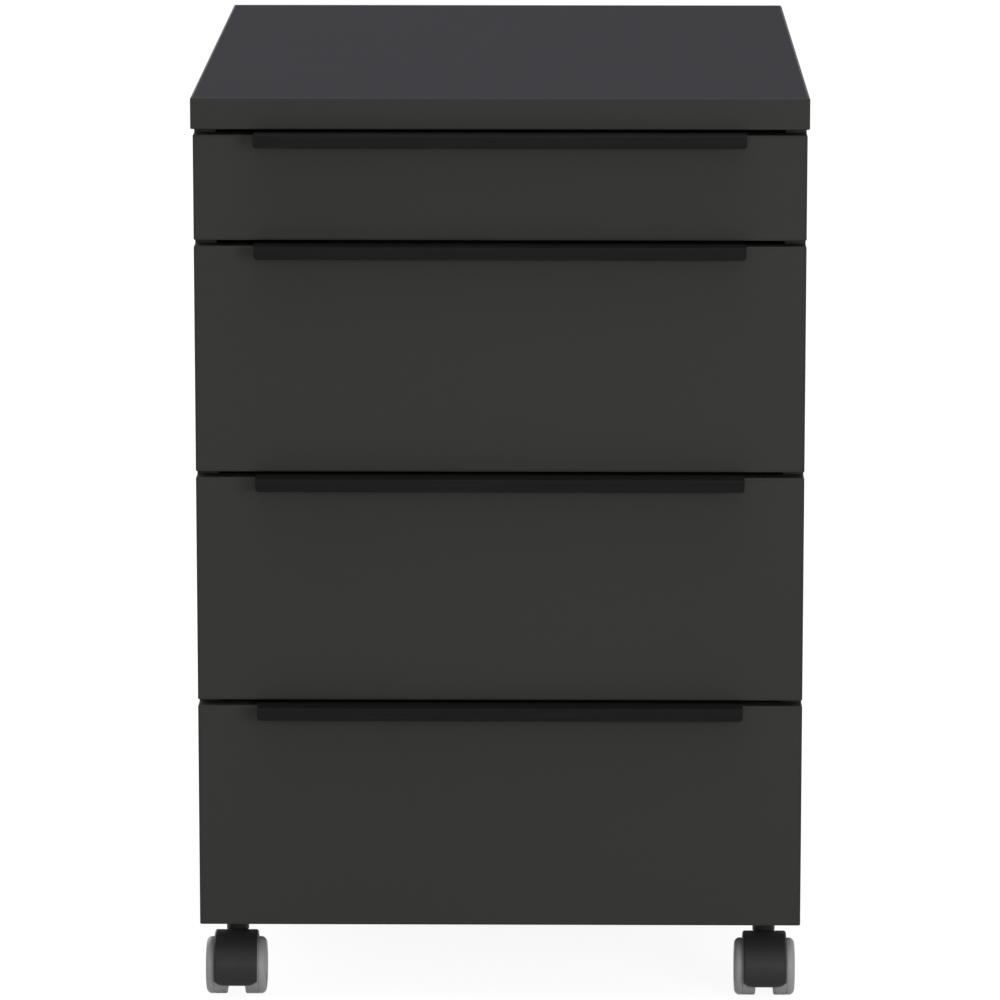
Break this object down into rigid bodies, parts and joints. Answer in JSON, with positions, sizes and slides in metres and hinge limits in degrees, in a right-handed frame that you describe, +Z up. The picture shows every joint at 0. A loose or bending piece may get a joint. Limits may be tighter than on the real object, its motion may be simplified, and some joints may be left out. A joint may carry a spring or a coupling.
{
  "type": "rolling pedestal cabinet",
  "caption": "Rolling under-desk pedestal cabinet: boxy board carcass with a thicker overhanging top, a shallow drawer above deep ones, edge-pull handle strips and swivelling casters.",
  "frame": {"origin": "on the floor under the middle of the whole outline, handles included", "axes": "+Z up, drawers open towards -Y, +X to the right for someone facing the drawers"},
  "size_m": [0.43, 0.5954, 0.65],
  "materials": {
    "graphite_board": "matt graphite melamine on chipboard",
    "back_sheet": "lacquered hardboard",
    "drawer_board": "matt melamine on chipboard",
    "black_handle": "satin black anodised",
    "grey_steel": "grey powder coat",
    "plated_runner": "zinc plated",
    "plated_caster_steel": "zinc plated",
    "black_hood": "moulded, slightly satin",
    "grey_wheel": "moulded grey"
  },
  "bodies": {
    "carcass": {"top_panel": "graphite_board", "left_side_panel": "graphite_board", "right_side_panel": "graphite_board", "bottom_panel": "graphite_board", "back_panel": "back_sheet", "runner_1_left": "plated_runner", "runner_1_right": "plated_runner", "runner_2_left": "plated_runner", "runner_2_right": "plated_runner", "runner_3_left": "plated_runner", "runner_3_right": "plated_runner", "runner_4_left": "plated_runner", "runner_4_right": "plated_runner", "caster_plate_front_left": "plated_caster_steel", "caster_plate_front_right": "plated_caster_steel", "caster_plate_rear_left": "plated_caster_steel", "caster_plate_rear_right": "plated_caster_steel"},
    "drawer_1": {"drawer_1_front": "graphite_board", "drawer_1_handle": "black_handle", "drawer_1_left_side": "grey_steel", "drawer_1_right_side": "grey_steel", "drawer_1_bottom": "drawer_board", "drawer_1_back": "drawer_board"},
    "drawer_2": {"drawer_2_front": "graphite_board", "drawer_2_handle": "black_handle", "drawer_2_left_side": "grey_steel", "drawer_2_right_side": "grey_steel", "drawer_2_bottom": "drawer_board", "drawer_2_back": "drawer_board"},
    "drawer_3": {"drawer_3_front": "graphite_board", "drawer_3_handle": "black_handle", "drawer_3_left_side": "grey_steel", "drawer_3_right_side": "grey_steel", "drawer_3_bottom": "drawer_board", "drawer_3_back": "drawer_board"},
    "drawer_4": {"drawer_4_front": "graphite_board", "drawer_4_handle": "black_handle", "drawer_4_left_side": "grey_steel", "drawer_4_right_side": "grey_steel", "drawer_4_bottom": "drawer_board", "drawer_4_back": "drawer_board"},
    "swivel_front_left": {"caster_hood_front_left": "black_hood", "caster_axle_front_left": "plated_caster_steel"},
    "wheel_front_left_left": {"caster_wheel_front_left_left": "grey_wheel"},
    "wheel_front_left_right": {"caster_wheel_front_left_right": "grey_wheel"},
    "swivel_front_right": {"caster_hood_front_right": "black_hood", "caster_axle_front_right": "plated_caster_steel"},
    "wheel_front_right_left": {"caster_wheel_front_right_left": "grey_wheel"},
    "wheel_front_right_right": {"caster_wheel_front_right_right": "grey_wheel"},
    "swivel_rear_left": {"caster_hood_rear_left": "black_hood", "caster_axle_rear_left": "plated_caster_steel"},
    "wheel_rear_left_left": {"caster_wheel_rear_left_left": "grey_wheel"},
    "wheel_rear_left_right": {"caster_wheel_rear_left_right": "grey_wheel"},
    "swivel_rear_right": {"caster_hood_rear_right": "black_hood", "caster_axle_rear_right": "plated_caster_steel"},
    "wheel_rear_right_left": {"caster_wheel_rear_right_left": "grey_wheel"},
    "wheel_rear_right_right": {"caster_wheel_rear_right_right": "grey_wheel"}
  },
  "joints": [
    {"name": "drawer_1_slide", "type": "slide", "parent": "carcass", "child": "drawer_1", "axis": [0, -1, 0], "range_m": [0, 0.38]},
    {"name": "drawer_2_slide", "type": "slide", "parent": "carcass", "child": "drawer_2", "axis": [0, -1, 0], "range_m": [0, 0.38]},
    {"name": "drawer_3_slide", "type": "slide", "parent": "carcass", "child": "drawer_3", "axis": [0, -1, 0], "range_m": [0, 0.38]},
    {"name": "drawer_4_slide", "type": "slide", "parent": "carcass", "child": "drawer_4", "axis": [0, -1, 0], "range_m": [0, 0.38]},
    {"name": "swivel_front_left", "type": "hinge", "parent": "carcass", "child": "swivel_front_left", "pos_m": [-0.189, -0.23325, 0.04], "axis": [0, 0, 1], "continuous": true},
    {"name": "swivel_front_right", "type": "hinge", "parent": "carcass", "child": "swivel_front_right", "pos_m": [0.189, -0.23325, 0.04], "axis": [0, 0, 1], "continuous": true},
    {"name": "swivel_rear_left", "type": "hinge", "parent": "carcass", "child": "swivel_rear_left", "pos_m": [-0.189, 0.26675, 0.04], "axis": [0, 0, 1], "continuous": true},
    {"name": "swivel_rear_right", "type": "hinge", "parent": "carcass", "child": "swivel_rear_right", "pos_m": [0.189, 0.26675, 0.04], "axis": [0, 0, 1], "continuous": true},
    {"name": "wheel_front_left_left", "type": "hinge", "parent": "swivel_front_left", "child": "wheel_front_left_left", "pos_m": [-0.189, -0.25125, 0.0205], "axis": [1, 0, 0], "continuous": true},
    {"name": "wheel_front_left_right", "type": "hinge", "parent": "swivel_front_left", "child": "wheel_front_left_right", "pos_m": [-0.189, -0.25125, 0.0205], "axis": [1, 0, 0], "continuous": true},
    {"name": "wheel_front_right_left", "type": "hinge", "parent": "swivel_front_right", "child": "wheel_front_right_left", "pos_m": [0.189, -0.25125, 0.0205], "axis": [1, 0, 0], "continuous": true},
    {"name": "wheel_front_right_right", "type": "hinge", "parent": "swivel_front_right", "child": "wheel_front_right_right", "pos_m": [0.189, -0.25125, 0.0205], "axis": [1, 0, 0], "continuous": true},
    {"name": "wheel_rear_left_left", "type": "hinge", "parent": "swivel_rear_left", "child": "wheel_rear_left_left", "pos_m": [-0.189, 0.24875, 0.0205], "axis": [1, 0, 0], "continuous": true},
    {"name": "wheel_rear_left_right", "type": "hinge", "parent": "swivel_rear_left", "child": "wheel_rear_left_right", "pos_m": [-0.189, 0.24875, 0.0205], "axis": [1, 0, 0], "continuous": true},
    {"name": "wheel_rear_right_left", "type": "hinge", "parent": "swivel_rear_right", "child": "wheel_rear_right_left", "pos_m": [0.189, 0.24875, 0.0205], "axis": [1, 0, 0], "continuous": true},
    {"name": "wheel_rear_right_right", "type": "hinge", "parent": "swivel_rear_right", "child": "wheel_rear_right_right", "pos_m": [0.189, 0.24875, 0.0205], "axis": [1, 0, 0], "continuous": true}
  ]
}
